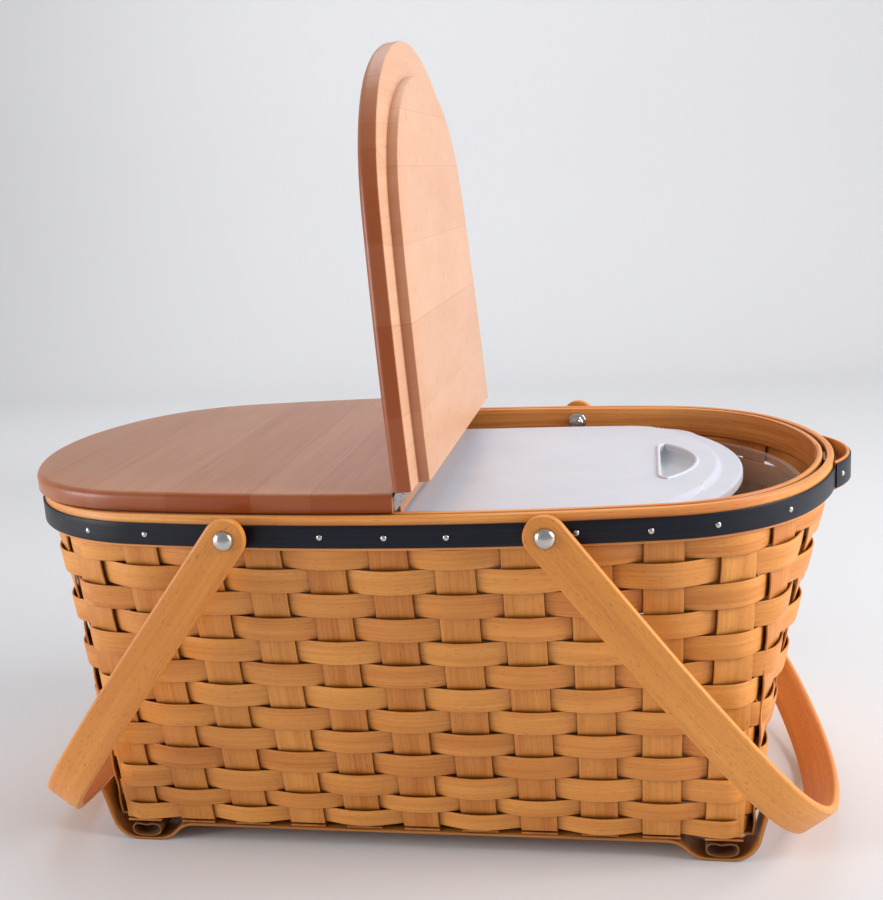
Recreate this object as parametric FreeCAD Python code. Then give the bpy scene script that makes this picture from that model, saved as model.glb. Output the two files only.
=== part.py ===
import FreeCAD, Part
import math
import os

# Lidded oval splint basket: a woven wall on curled foot runners, two swing handles, a board lid
# in two hinged halves, and a clear liner with a covered tray inside. Millimetres, +Z up, the
# origin on the table under the middle of the basket, +X along its length, -Y towards the front.

V = FreeCAD.Vector
Z_AXIS = V(0, 0, 1)
Y_AXIS = V(0, 1, 0)

# Rim outline, an oval of eight tangent arcs at the outer face of the trim band
rim_half_length = 254.0
rim_half_depth = 152.0
rim_side_radius = 994.0
rim_corner_radius = 111.0
rim_end_radius = 173.0
rim_height = 225.0

# Bands round the rim, from the outside in
band_height = 19.5
trim_thickness = 1.2
trim_height = 12.8
trim_drop = 4.8
trim_to_band = 0.2
outer_band_thickness = 4.1
upright_slot = 2.5
inner_band_thickness = 3.2

# Base and splints of the woven body
base_end_inset = 57.0
base_side_inset = 46.0
floor_height = 12.6
upright_width = 22.0
splint_thickness = 1.3
splint_gap = 0.1
front_uprights_count = 11
end_uprights_count = 6
front_corner_margin = 17.0
end_corner_margin = 16.0
front_fan = 0.05
end_fan = 0.08
upright_to_rim_top = 3.0

# Weavers, numbered from the base up
weaver_thickness = 1.2
weaver_rows = 13
narrow_rows = 2
narrow_pitch = 11.6
row_pitch = 15.4
row_gap = 0.4
weaver_lap = 1.2
weave_gap = 0.45

# Foot runners, one under each long edge, and the loops inside their curled ends
runner_thickness = 1.6
runner_width = 22.0
runner_edge_margin = 2.0
runner_wall_gap = 0.5
runner_rise = 36.0
foot_bend_radius = 17.0
foot_length = 32.5
foot_slope_run = 11.0
foot_slope_radius = 16.0
foot_loop_length = 20.0
foot_loop_thickness = 1.2
foot_loop_inset = 18.0
foot_loop_gap = 0.2

# Arched loops at the two ends of the rim
end_loop_reach = 9.0
end_loop_half_span = 38.0
end_loop_thickness = 1.8
end_loop_height = 17.0
end_loop_drop = 2.0
facing_thickness = 0.8
facing_gap = 0.1
facing_margin = 1.0
seat_gap = 0.05

# Swing handles
strap_width = 24.0
strap_thickness = 5.0
strap_standoff = 3.5
grip_room = 51.4
handle_side_radius = 450.0
handle_side_turn = 14.0
handle_corner_radius = 85.0
handle_corner_turn = 56.0
pivot_drop = 10.0
table_gap = 0.4

# Pivot bolts, one through each end of each handle
bolt_radius = 2.5
bolt_running_gap = 0.05
bolt_hole_gap = 0.2
bolt_upright_gap = 1.5
dome_radius = 5.8
dome_height = 3.6
side_gap = 0.2
spacer_radius = 7.0
washer_radius = 6.5
washer_thickness = 1.0
nut_across_flats = 8.0
nut_thickness = 3.0
bolt_past_nut = 0.4

# Lid boards and their hinge
lid_end_overhang = 3.0
lid_side_inset = 6.0
lid_corner_radius = 106.0
lid_end_radius = 166.0
lid_thickness = 11.0
lid_round = 4.0
lid_panel_inset = 21.0
lid_panel_depth = 6.5
lid_rest_gap = 0.3
hinge_offset = 8.0
hinge_half_gap = 3.4
hinge_pin_depth = 3.0
lid_open_angle = 93.6
hinge_end_margin = 3.0
knuckle_radius = 2.8
knuckle_count = 9
knuckle_gap = 0.25
hinge_pin_radius = 1.1
hinge_running_gap = 0.05
leaf_thickness = 1.0
leaf_height = 7.7
leaf_seat_gap = 0.05

# Clear liner
liner_wall = 2.0
liner_rim_drop = 21.0
liner_nut_gap = 0.6
liner_bead = 2.0
liner_bead_height = 2.5
liner_floor_gap = 0.3
liner_base_room = 4.0

# Divided tray and its cover
tray_end_inset = 67.0
tray_side_inset = 5.0
tray_taper = 31.0
tray_side_radius = 2500.0
tray_corner_radius = 40.0
tray_end_radius = 1500.0
tray_wall = 2.0
tray_rest_gap = 0.3
cover_end_inset = 55.0
cover_side_inset = 37.0
cover_side_radius = 2500.0
cover_corner_radius = 34.0
cover_end_radius = 166.0
cover_shoulder_inset = 27.0
cover_shoulder_step = 3.5
cover_height = 8.2
cover_wall = 2.0
cover_lid_gap = 2.3
hand_hole_inset = 52.0
hand_hole_reach = 24.0
hand_hole_half_span = 50.0

# Heights and places that follow from the sizes above
base_half_length = rim_half_length - base_end_inset
base_half_depth = rim_half_depth - base_side_inset
band_bottom = rim_height - band_height
outer_band_face = -(trim_thickness + trim_to_band)
outer_band_back = outer_band_face - outer_band_thickness
inner_band_face = outer_band_back - upright_slot
inner_band_back = inner_band_face - inner_band_thickness
upright_line = (outer_band_back + inner_band_face) / 2 - 0.06 * upright_slot
wall_base = floor_height + splint_thickness + splint_gap
wall_top = band_bottom - row_gap
floor_top = wall_base + splint_thickness + splint_gap
wave = (splint_thickness + weaver_thickness) / 2 + weave_gap
pivot_height = rim_height - pivot_drop
strap_face = rim_half_depth + strap_standoff
lid_bottom = rim_height + lid_rest_gap
lid_top = lid_bottom + lid_thickness
hinge_height = lid_top - hinge_pin_depth
cover_half_length = rim_half_length - cover_end_inset
cover_half_depth = rim_half_depth - cover_side_inset
tray_half_length = cover_half_length - tray_end_inset
tray_half_depth = cover_half_depth - tray_side_inset

os.makedirs("parts", exist_ok=True)


def write(name, shapes):
    """Writes one solid, or several as a group, to its STEP file."""
    group = shapes if isinstance(shapes, list) else [shapes]
    solids = [solid for shape in group for solid in shape.Solids]
    shape = solids[0] if len(solids) == 1 else Part.makeCompound(solids)
    shape.exportStep("parts/" + name + ".step")


def box(x0, x1, y0, y1, z0, z1):
    """A box between two corners."""
    return Part.makeBox(x1 - x0, y1 - y0, z1 - z0, V(x0, y0, z0))


def mirrored_x(shape):
    """The same piece on the other end of the basket."""
    return shape.mirror(V(0, 0, 0), V(1, 0, 0))


def mirrored_y(shape):
    """The same piece on the other side of the basket."""
    return shape.mirror(V(0, 0, 0), Y_AXIS)


# Ovals

class Oval:
    """An oval of eight tangent arcs: two sides, two ends and four corners."""

    def __init__(self, half_length, half_depth, side_radius, corner_radius, end_radius):
        self.radii = (end_radius, corner_radius, side_radius)
        self.end = V(half_length - end_radius, 0, 0)
        self.side = V(0, half_depth - side_radius, 0)
        to_side = side_radius - corner_radius
        to_end = end_radius - corner_radius
        span = self.end - self.side
        along = (to_side**2 - to_end**2 + span.Length**2) / (2 * span.Length)
        across = math.sqrt(to_side**2 - along**2)
        unit = span / span.Length
        self.corner = self.side + unit * along + V(unit.y, -unit.x, 0) * across
        end_to_corner = self.corner - self.end
        side_to_corner = self.corner - self.side
        self.end_turn = math.atan2(end_to_corner.y, end_to_corner.x)
        self.side_turn = math.atan2(side_to_corner.y, side_to_corner.x)

    def arcs(self, offset):
        """Centre, radius and turn of each arc of the oval moved outwards by an offset."""
        end, corner, side = self.end, self.corner, self.side
        r_end, r_corner, r_side = (radius + offset for radius in self.radii)
        a, b, half = self.end_turn, self.side_turn, math.pi
        return [
            (end.x, 0, r_end, -a, a),
            (corner.x, corner.y, r_corner, a, b),
            (0, side.y, r_side, b, half - b),
            (-corner.x, corner.y, r_corner, half - b, half - a),
            (-end.x, 0, r_end, half - a, half + a),
            (-corner.x, -corner.y, r_corner, half + a, half + b),
            (0, -side.y, r_side, half + b, 2 * half - b),
            (corner.x, -corner.y, r_corner, 2 * half - b, 2 * half - a),
        ]

    def wire(self, offset, z):
        """The moved oval at one height."""
        edges = []
        for x, y, radius, start, stop in self.arcs(offset):
            turns = (start, (start + stop) / 2, stop)
            points = [V(x + radius * math.cos(t), y + radius * math.sin(t), z) for t in turns]
            edges.append(Part.Arc(*points).toShape())
        return Part.Wire(edges)

    def prism(self, offset, z0, z1):
        """The filled oval between two heights."""
        return Part.Face(self.wire(offset, z0)).extrude(V(0, 0, z1 - z0))

    def ring(self, outer, inner, z0, z1):
        """A band between two offsets."""
        return self.prism(outer, z0, z1).cut(self.prism(inner, z0, z1))

    def swept(self, profile):
        """A closed profile of (offset, height) points carried round the oval."""
        pieces = []
        for x, y, radius, start, stop in self.arcs(0):
            points = [V(x + radius + offset, y, z) for offset, z in profile]
            piece = Part.Face(Part.makePolygon(points + points[:1]))
            piece.rotate(V(x, y, 0), Z_AXIS, math.degrees(start))
            pieces.append(piece.revolve(V(x, y, 0), Z_AXIS, math.degrees(stop - start)))
        return pieces[0].fuse(pieces[1:]).removeSplitter()

    def at_x(self, offset, x):
        """Point and outward direction on the front half at one place along the length."""
        r_end, r_corner, r_side = (radius + offset for radius in self.radii)
        reach = abs(x)
        if reach < self.side.x + r_side * math.cos(self.side_turn):
            centre, radius = self.side, r_side
        elif reach < self.corner.x + r_corner * math.cos(self.end_turn):
            centre, radius = self.corner, r_corner
        else:
            centre, radius = self.end, r_end
        rise = math.sqrt(radius**2 - (reach - centre.x) ** 2)
        point = V(x, -(centre.y + rise), 0)
        outward = V(math.copysign(reach - centre.x, x), -rise, 0)
        return point, outward / outward.Length

    def at_y(self, offset, y):
        """Point and outward direction on the right end at one place across the depth."""
        r_end, r_corner, r_side = (radius + offset for radius in self.radii)
        reach = abs(y)
        if reach < r_end * math.sin(self.end_turn):
            centre, radius = self.end, r_end
        else:
            centre, radius = self.corner, r_corner
        rise = math.sqrt(radius**2 - (reach - centre.y) ** 2)
        point = V(centre.x + rise, y, 0)
        outward = V(rise, math.copysign(reach - centre.y, y), 0)
        return point, outward / outward.Length


rim = Oval(rim_half_length, rim_half_depth, rim_side_radius, rim_corner_radius, rim_end_radius)


# Bent strips

def rounded_edges(points, radii):
    """Straight runs through the points, with an arc of the given radius at each inner point."""
    edges = []
    start = points[0]
    for before, here, after, radius in zip(points, points[1:], points[2:], radii):
        back = (before - here).normalize()
        ahead = (after - here).normalize()
        half = back.getAngle(ahead) / 2
        cut = radius / math.tan(half)
        middle = here + (back + ahead).normalize() * (radius / math.sin(half) - radius)
        if (here + back * cut - start).Length > 0.001:
            edges.append(Part.makeLine(start, here + back * cut))
        edges.append(Part.Arc(here + back * cut, middle, here + ahead * cut).toShape())
        start = here + ahead * cut
    edges.append(Part.makeLine(start, points[-1]))
    return edges


def bent_strip(points, radii, thickness, width_vector):
    """A flat strip bent along a path in one plane, as wide as the width vector."""
    facing = V(width_vector).normalize()
    sides = []
    for sign in (1, -1):
        moved = []
        curved = []
        for i, here in enumerate(points):
            into = (here - points[i - 1]).normalize() if i else None
            out = (points[i + 1] - here).normalize() if i + 1 < len(points) else None
            first = facing.cross(into or out)
            second = facing.cross(out or into)
            mitre = (first + second) / (1 + first.dot(second))
            moved.append(here + mitre * (sign * thickness / 2))
            if into and out:
                inner = sign if facing.dot(into.cross(out)) > 0 else -sign
                curved.append(radii[i - 1] - inner * thickness / 2)
        sides.append((moved, curved))
    (left, left_radii), (right, right_radii) = sides
    edges = rounded_edges(left, left_radii)
    edges.append(Part.makeLine(left[-1], right[-1]))
    edges += rounded_edges(right[::-1], right_radii[::-1])
    edges.append(Part.makeLine(right[0], left[0]))
    strip = Part.Face(Part.Wire(Part.__sortEdges__(edges))).extrude(width_vector)
    strip.translate(width_vector * -0.5)
    return strip


# Uprights: each has its place, its direction along the wall and its outward direction at
# the base and where it passes between the bands, and is straight from one to the other

def closed_wire(points):
    return Part.makePolygon(points + points[:1])


def fanned(place, limit, fan):
    """The outer uprights spread a little towards the rim."""
    return place * (1 + fan * (place / limit) ** 2)


front_limit = base_half_length - front_corner_margin
end_limit = base_half_depth - end_corner_margin
front_pitch = 2 * front_limit / (front_uprights_count - 1)
end_pitch = 2 * end_limit / (end_uprights_count - 1)
front_places = [i * front_pitch - front_limit for i in range(front_uprights_count)]
end_places = [i * end_pitch - end_limit for i in range(end_uprights_count)]


class Upright:
    """One upright splint, from the edge of the floor to the rim."""

    def __init__(self, base, base_out, top, top_out):
        self.ends = ((base, base_out), (top, top_out))

    def section(self, z):
        """Middle, direction along the wall and outward direction at one height."""
        share = min(1.0, (z - wall_base) / (wall_top - wall_base))
        (base, base_out), (top, top_out) = self.ends
        middle = base * (1 - share) + top * share
        outward = (base_out * (1 - share) + top_out * share).normalize()
        return V(middle.x, middle.y, z), V(-outward.y, outward.x, 0), outward

    def outline(self, z):
        """The splint's cut at one height."""
        middle, along, outward = self.section(z)
        half = along * (upright_width / 2)
        skin = outward * (splint_thickness / 2)
        corners = [middle - half - skin, middle + half - skin]
        corners += [middle + half + skin, middle - half + skin]
        return closed_wire(corners)

    def solid(self, bottom):
        """The splint, leaning and turning up to the bands and upright between them."""
        cuts = [self.outline(z) for z in (bottom, wall_top, rim_height - upright_to_rim_top)]
        return Part.makeLoft(cuts, True, True)


front = []
for x in front_places:
    top, top_out = rim.at_x(upright_line, fanned(x, front_limit, front_fan))
    front.append(Upright(V(x, -base_half_depth, 0), V(0, -1, 0), top, top_out))
right = []
for y in end_places:
    top, top_out = rim.at_y(upright_line, fanned(y, end_limit, end_fan))
    right.append(Upright(V(base_half_length, y, 0), V(1, 0, 0), top, top_out))


def turned(uprights):
    """The same uprights on the far side, half a turn about the middle."""
    return [Upright(*(V(-p.x, -p.y, 0) for end in u.ends for p in end)) for u in uprights]


back = turned(front)
left = turned(right)
ring_of_uprights = front + right + back + left

write("front_uprights", [upright.solid(wall_base) for upright in front])
write("back_uprights", [upright.solid(wall_base) for upright in back])
write("right_uprights", [upright.solid(floor_top) for upright in right])
write("left_uprights", [upright.solid(floor_top) for upright in left])


# Floor: splints across the depth under splints along the length

half_width = upright_width / 2
cross_reach = base_half_depth + splint_thickness / 2
long_reach = base_half_length + splint_thickness / 2
cross_top = floor_height + splint_thickness
write("floor_cross_splints", [
    box(x - half_width, x + half_width, -cross_reach, cross_reach, floor_height, cross_top)
    for x in front_places
])
long_top = wall_base + splint_thickness
write("floor_long_splints", [
    box(-long_reach, long_reach, y - half_width, y + half_width, wall_base, long_top)
    for y in end_places
])


# Weavers: each row is one splint that runs outside one upright and inside the next

def weave_loop(z, first_side):
    """The middle line of a row at one height, flat across each upright."""
    points = []
    reach = upright_width / 2 + weaver_lap
    for i, upright in enumerate(ring_of_uprights):
        middle, along, outward = upright.section(z)
        on_face = middle + outward * (wave * first_side * (-1) ** i)
        points += [on_face - along * reach, on_face + along * reach]
    return points


def offset_loop(points, distance):
    """Moves each side of a closed loop outwards and joins the sides again."""
    moved = []
    for i, here in enumerate(points):
        into = (here - points[i - 1]).normalize()
        out = (points[(i + 1) % len(points)] - here).normalize()
        first = into.cross(Z_AXIS)
        second = out.cross(Z_AXIS)
        moved.append(here + (first + second) * (distance / (1 + first.dot(second))))
    return moved


def facets(lower, upper):
    """Two flat triangles for each side between two loops."""
    faces = []
    for i in range(len(lower)):
        j = (i + 1) % len(lower)
        for corners in ([lower[i], lower[j], upper[j]], [lower[i], upper[j], upper[i]]):
            faces.append(Part.Face(closed_wire(corners)))
    return faces


def closed_solid(faces):
    """The solid inside a closed set of flat faces."""
    shell = Part.makeShell(faces)
    shell.sewShape()
    solid = Part.makeSolid(shell)
    if solid.Volume < 0:
        solid.reverse()
    return solid


def weaver(z0, z1, first_side):
    """One row of the wall as a closed faceted ring."""
    skin = weaver_thickness / 2
    loops = {}
    for z in (z0, z1):
        line = weave_loop(z, first_side)
        loops[z] = (offset_loop(line, skin), offset_loop(line, -skin))
    faces = facets(loops[z0][0], loops[z1][0]) + facets(loops[z0][1], loops[z1][1])
    for outer, inner in loops.values():
        faces.append(Part.makeFace([closed_wire(outer), closed_wire(inner)], "Part::FaceMakerBullseye"))
    return closed_solid(faces)


row_start = floor_top + row_gap / 2
for row in range(weaver_rows):
    pitch = narrow_pitch if row < narrow_rows else row_pitch
    row_end = min(row_start + pitch - row_gap, wall_top)
    write("weaver_row_%02d" % (row + 1), weaver(row_start, row_end, (-1) ** row))
    row_start += pitch


# Bands round the rim, with a hole for each pivot bolt

inner_upright = fanned(front_places[front_uprights_count // 2 + 2], front_limit, front_fan)
pivot_place = inner_upright + upright_width / 2 + bolt_radius + bolt_upright_gap


def at_pivots(shape):
    """Copies a piece made at the front right pivot to all four pivots."""
    pair = [shape, mirrored_x(shape)]
    return pair + [mirrored_y(piece) for piece in pair]


def along_y(radius, start, stop):
    """A round bar across the depth at the front right pivot."""
    return Part.makeCylinder(radius, stop - start, V(pivot_place, start, pivot_height), Y_AXIS)


def drilled(band):
    """Cuts the bolt holes through a band."""
    hole = along_y(bolt_radius + bolt_hole_gap, -strap_face, -strap_face / 2)
    return band.cut(Part.makeCompound(at_pivots(hole)))


trim_top = rim_height - trim_drop
write("trim_band", drilled(rim.ring(0, -trim_thickness, trim_top - trim_height, trim_top)))
write("outer_band", drilled(rim.ring(outer_band_face, outer_band_back, band_bottom, rim_height)))
write("inner_band", drilled(rim.ring(inner_band_face, inner_band_back, band_bottom, rim_height)))


# Foot runners: a splint under each long edge that dips to the table near its ends and
# curls up outside the corners, with a small closed loop in each curl

middle_low = runner_thickness / 2
middle_high = floor_height - splint_gap - runner_thickness / 2
riser_offset = wave + weaver_thickness / 2 + runner_wall_gap + runner_thickness / 2


end_top = max(upright.section(wall_top)[0].x for upright in right)
end_lean = (end_top - base_half_length) / (wall_top - wall_base)


def riser(z):
    """Where a runner's end stands beside the leaning end wall."""
    return base_half_length + end_lean * (z - wall_base) + riser_offset


half_path = [
    (riser(runner_rise), runner_rise),
    (riser(middle_low), middle_low),
    (base_half_length - foot_length, middle_low),
    (base_half_length - foot_length - foot_slope_run, middle_high),
]
runner_y = -(base_half_depth + runner_edge_margin - runner_width / 2)
runner_points = [V(x, runner_y, z) for x, z in half_path]
runner_points += [V(-x, runner_y, z) for x, z in half_path[::-1]]
foot_radii = [foot_bend_radius, foot_slope_radius, foot_slope_radius]
foot_radii += foot_radii[::-1]
front_runner = bent_strip(runner_points, foot_radii, runner_thickness, V(0, runner_width, 0))
write("front_runner", front_runner)
write("back_runner", mirrored_y(front_runner))

loop_low = runner_thickness + foot_loop_gap
loop_high = floor_height - foot_loop_gap
loop_radius = (loop_high - loop_low) / 2
loop_centre = V(base_half_length - foot_loop_inset, runner_y, (loop_high + loop_low) / 2)
loop_half_run = foot_loop_length / 2 - loop_radius


def stadium(radius):
    """A flat-sided round bar across a foot."""
    start = loop_centre - V(0, runner_width / 2, 0)
    ends = [
        Part.makeCylinder(radius, runner_width, start + V(side * loop_half_run, 0, 0), Y_AXIS)
        for side in (-1, 1)
    ]
    corner = start - V(loop_half_run, 0, radius)
    return ends[0].fuse([ends[1], Part.makeBox(2 * loop_half_run, runner_width, 2 * radius, corner)])


foot_loop = stadium(loop_radius).cut(stadium(loop_radius - foot_loop_thickness)).removeSplitter()
write("foot_loops", at_pivots(foot_loop))


# End loops: arched splints outside the two ends of the rim, faced like the trim band

def arch(inner_radius, outer_radius, centre, z0, z1):
    """A round arch whose two feet stand on the trim band."""
    start = V(centre, 0, z0)
    ring = Part.makeCylinder(outer_radius, z1 - z0, start)
    return ring.cut([Part.makeCylinder(inner_radius, z1 - z0, start), rim.prism(seat_gap, z0, z1)])


foot_x = rim.at_y(0, end_loop_half_span)[0].x
arch_rise = rim_half_length + end_loop_reach - foot_x
arch_radius = (end_loop_half_span**2 + arch_rise**2) / (2 * arch_rise)
arch_centre = rim_half_length + end_loop_reach - arch_radius
loop_top = rim_height - end_loop_drop
loop_bottom = loop_top - end_loop_height
end_loop = arch(arch_radius - end_loop_thickness, arch_radius, arch_centre, loop_bottom, loop_top)
facing_inner = arch_radius + facing_gap
facing = arch(
    facing_inner,
    facing_inner + facing_thickness,
    arch_centre,
    loop_bottom + facing_margin,
    loop_top - facing_margin,
)
write("right_end_loop", end_loop)
write("left_end_loop", mirrored_x(end_loop))
write("right_end_facing", facing)
write("left_end_facing", mirrored_x(facing))


# Pivot bolts: a domed bolt through handle, spacer and bands, with a washer and nut inside

strap_out = strap_face + strap_thickness
band_inside = rim.at_x(inner_band_back, pivot_place - washer_radius)[0].y
washer_y = max(band_inside, rim.at_x(inner_band_back, pivot_place + washer_radius)[0].y) + seat_gap
nut_y = washer_y + washer_thickness
bolt_end = nut_y + nut_thickness + bolt_past_nut

dome_face = -strap_out - side_gap
dome_sphere = (dome_radius**2 + dome_height**2) / (2 * dome_height)
dome_centre = V(pivot_place, dome_face - dome_height + dome_sphere, pivot_height)
outside = along_y(2 * dome_sphere, dome_face - 2 * dome_sphere, dome_face)
dome = Part.makeSphere(dome_sphere, dome_centre).common(outside)
bolt = dome.fuse(along_y(bolt_radius, dome_face - dome_height / 4, bolt_end)).removeSplitter()

hole = along_y(bolt_radius + bolt_hole_gap, -strap_out, bolt_end)
seat, seat_out = rim.at_x(seat_gap, pivot_place)
seat_block = Part.makeBox(4 * spacer_radius, 2 * strap_face, 4 * spacer_radius)
seat_block.translate(V(-2 * spacer_radius, 0, -2 * spacer_radius))
seat_block.rotate(V(0, 0, 0), Z_AXIS, 90 + math.degrees(math.atan2(seat_out.y, seat_out.x)))
seat_block.translate(V(seat.x, seat.y, pivot_height))
spacer = along_y(spacer_radius, -strap_face + side_gap, -strap_face / 2).cut([hole, seat_block])
washer = along_y(washer_radius, washer_y, nut_y).cut(hole)
nut_corner = nut_across_flats / math.sqrt(3)
nut_points = [
    V(
        pivot_place + nut_corner * math.cos(math.radians(60 * i)),
        nut_y,
        pivot_height + nut_corner * math.sin(math.radians(60 * i)),
    )
    for i in range(6)
]
nut = Part.Face(closed_wire(nut_points)).extrude(V(0, nut_thickness, 0)).cut(hole)

write("pivot_bolts", at_pivots(bolt))
write("pivot_spacers", at_pivots(spacer))
write("pivot_washers", at_pivots(washer))
write("pivot_nuts", at_pivots(nut))


# Swing handles: one bent strap each, resting with its crown just above the table

strap_middle = strap_face + strap_thickness / 2
side_turn = math.radians(handle_side_turn)
crown_slope = math.radians(handle_side_turn + handle_corner_turn)
crown_half = strap_middle - handle_side_radius * (1 - math.cos(side_turn))
crown_half -= handle_corner_radius * (math.cos(side_turn) - math.cos(crown_slope))
crown_radius = crown_half / math.cos(crown_slope)
side_cut = handle_side_radius * math.tan(side_turn / 2)
corner_cut = handle_corner_radius * math.tan(math.radians(handle_corner_turn) / 2)
crown_cut = crown_radius * math.tan(math.pi / 2 - crown_slope)

crown_place = base_half_length + grip_room
handle_reach = math.hypot(crown_place - pivot_place, pivot_height - strap_width / 2)
crown_tip = V(handle_reach + crown_radius / math.sin(crown_slope) - crown_radius, 0, 0)
crown_run = V(math.cos(crown_slope), math.sin(crown_slope), 0)
side_run = V(math.cos(side_turn), math.sin(side_turn), 0)
corner_point = crown_tip - crown_run * (crown_cut + corner_cut)
side_point = corner_point - side_run * (corner_cut + side_cut)
half_handle = [V(0, -strap_middle, 0), side_point, corner_point]
handle_points = half_handle + [crown_tip] + [V(p.x, -p.y, 0) for p in half_handle[::-1]]
handle_radii = [handle_side_radius, handle_corner_radius]
handle_radii += [crown_radius] + handle_radii[::-1]

strap = bent_strip(handle_points, handle_radii, strap_thickness, V(0, 0, strap_width))
eye = Part.makeCylinder(strap_width / 2, strap_thickness, V(0, -strap_out, 0), Y_AXIS)
strap = strap.fuse([eye, mirrored_y(eye)]).removeSplitter()
bolt_bore = bolt_radius + bolt_running_gap
strap = strap.cut(Part.makeCylinder(bolt_bore, 4 * strap_out, V(0, -2 * strap_out, 0), Y_AXIS))

outer_reach = handle_reach + strap_thickness / 2
hang = math.asin((pivot_height - table_gap) / math.hypot(outer_reach, strap_width / 2))
hang -= math.atan2(strap_width / 2, outer_reach)
strap.rotate(V(0, 0, 0), Y_AXIS, math.degrees(hang))
strap.translate(V(pivot_place, 0, pivot_height))
write("right_handle", strap)
write("left_handle", mirrored_x(strap))


# Lid: two boards with a rounded upper edge and a panel that drops inside the rim

lid_outline = Oval(
    rim_half_length + lid_end_overhang,
    rim_half_depth - lid_side_inset,
    rim_side_radius,
    lid_corner_radius,
    lid_end_radius,
)
board = lid_outline.prism(0, lid_bottom, lid_top)
top_edges = [edge for edge in board.Edges if edge.BoundBox.ZMin > lid_top - lid_round / 2]
board = board.makeFillet(lid_round, top_edges)
panel = lid_outline.prism(-lid_panel_inset, lid_bottom - lid_panel_depth, lid_bottom)
board = board.fuse(panel).removeSplitter()

far = 2 * rim_half_length
left_half = box(-far, hinge_offset - hinge_half_gap, -far, far, 0, far)
right_half = box(hinge_offset + hinge_half_gap, far, -far, far, 0, far)
hinge_axis = V(hinge_offset, 0, hinge_height)


def opened(shape):
    """Turns a piece of the right half about the hinge pin to where it stands open."""
    turned_piece = shape.copy()
    turned_piece.rotate(hinge_axis, Y_AXIS, -lid_open_angle)
    return turned_piece


write("left_lid_board", board.common(left_half))
write("right_lid_board", opened(board.common(right_half)))

# Hinge: a long strip hinge on the meeting edges, its knuckles shared between the two leaves

hinge_half_length = -lid_outline.at_x(0, hinge_offset + hinge_half_gap)[0].y - hinge_end_margin
knuckle_pitch = 2 * hinge_half_length / knuckle_count
leaf_out = hinge_half_gap - leaf_seat_gap
leaf_in = leaf_out - leaf_thickness
plate_top = -math.sqrt(knuckle_radius**2 - leaf_in**2) - knuckle_gap
pin_bore = hinge_pin_radius + hinge_running_gap


def hinge_leaf(side, parity):
    """One leaf: its plate on the board's edge and every second knuckle."""
    xs = sorted((hinge_offset + side * leaf_in, hinge_offset + side * leaf_out))
    ys = (-hinge_half_length, hinge_half_length)
    plate = box(*xs, *ys, hinge_height - leaf_height, hinge_height + plate_top)
    pieces = []
    for i in range(parity, knuckle_count, 2):
        start = -hinge_half_length + i * knuckle_pitch + knuckle_gap
        length = knuckle_pitch - 2 * knuckle_gap
        base = V(hinge_offset, start, hinge_height)
        pieces.append(Part.makeCylinder(knuckle_radius, length, base, Y_AXIS))
        pieces.append(box(*xs, start, start + length, hinge_height + plate_top, hinge_height))
    bore = Part.makeCylinder(pin_bore, far, V(hinge_offset, -far / 2, hinge_height), Y_AXIS)
    return plate.fuse(pieces).cut(bore).removeSplitter()


write("left_hinge_leaf", hinge_leaf(-1, 0))
write("right_hinge_leaf", opened(hinge_leaf(1, 1)))
pin_start = V(hinge_offset, -hinge_half_length, hinge_height)
write("hinge_pin", Part.makeCylinder(hinge_pin_radius, 2 * hinge_half_length, pin_start, Y_AXIS))


# Liner: a clear tub that follows the basket and lifts out past the pivot nuts

def tub(outline, wall, low_offset, z0, high_offset, z1):
    """A thin-walled tub that widens from one offset of an oval to another."""
    lean = (high_offset - low_offset) / (z1 - z0)
    inner_low = low_offset + lean * wall - wall
    sides = outline.swept([
        (low_offset, z0),
        (high_offset, z1),
        (high_offset - wall, z1),
        (inner_low, z0 + wall),
        (inner_low - wall, z0 + wall),
        (inner_low - wall, z0),
    ])
    return sides.fuse(outline.prism(inner_low - wall, z0, z0 + wall)).removeSplitter()


liner_top = rim_height - liner_rim_drop
liner_bottom = floor_top + liner_floor_gap
nut_room = rim.at_x(0, pivot_place - washer_radius)[0].y
liner_face = nut_room - bolt_end - liner_nut_gap
liner_base = -(base_end_inset + liner_base_room)
liner = tub(rim, liner_wall, liner_base, liner_bottom, liner_face, liner_top)
bead_face = liner_face - liner_wall / 2
bead_back = liner_face - liner_wall - liner_bead
bead = rim.ring(bead_face, bead_back, liner_top - liner_bead_height, liner_top)
write("liner_tub", liner.fuse(bead).removeSplitter())


# Tray: a tall divided box that stands on the liner's floor

cover_top = lid_bottom - lid_panel_depth - cover_lid_gap
cover_bottom = cover_top - cover_height
tray_bottom = liner_bottom + liner_wall + tray_rest_gap
tray_top = cover_top - cover_wall - tray_rest_gap
tray_outline = Oval(
    tray_half_length,
    tray_half_depth,
    tray_side_radius,
    tray_corner_radius,
    tray_end_radius,
)
tray = tub(tray_outline, tray_wall, -tray_taper, tray_bottom, 0, tray_top)
wall_middle = -tray_wall / 2


def divider(low, high, thickness):
    """An upright plate across the tray, its edges leaning with the walls."""
    corners = [V(-low.x, -low.y, tray_bottom), V(low.x, low.y, tray_bottom)]
    corners += [V(high.x, high.y, tray_top), V(-high.x, -high.y, tray_top)]
    plate = Part.Face(closed_wire(corners)).extrude(thickness)
    plate.translate(thickness * -0.5)
    return plate


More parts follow.
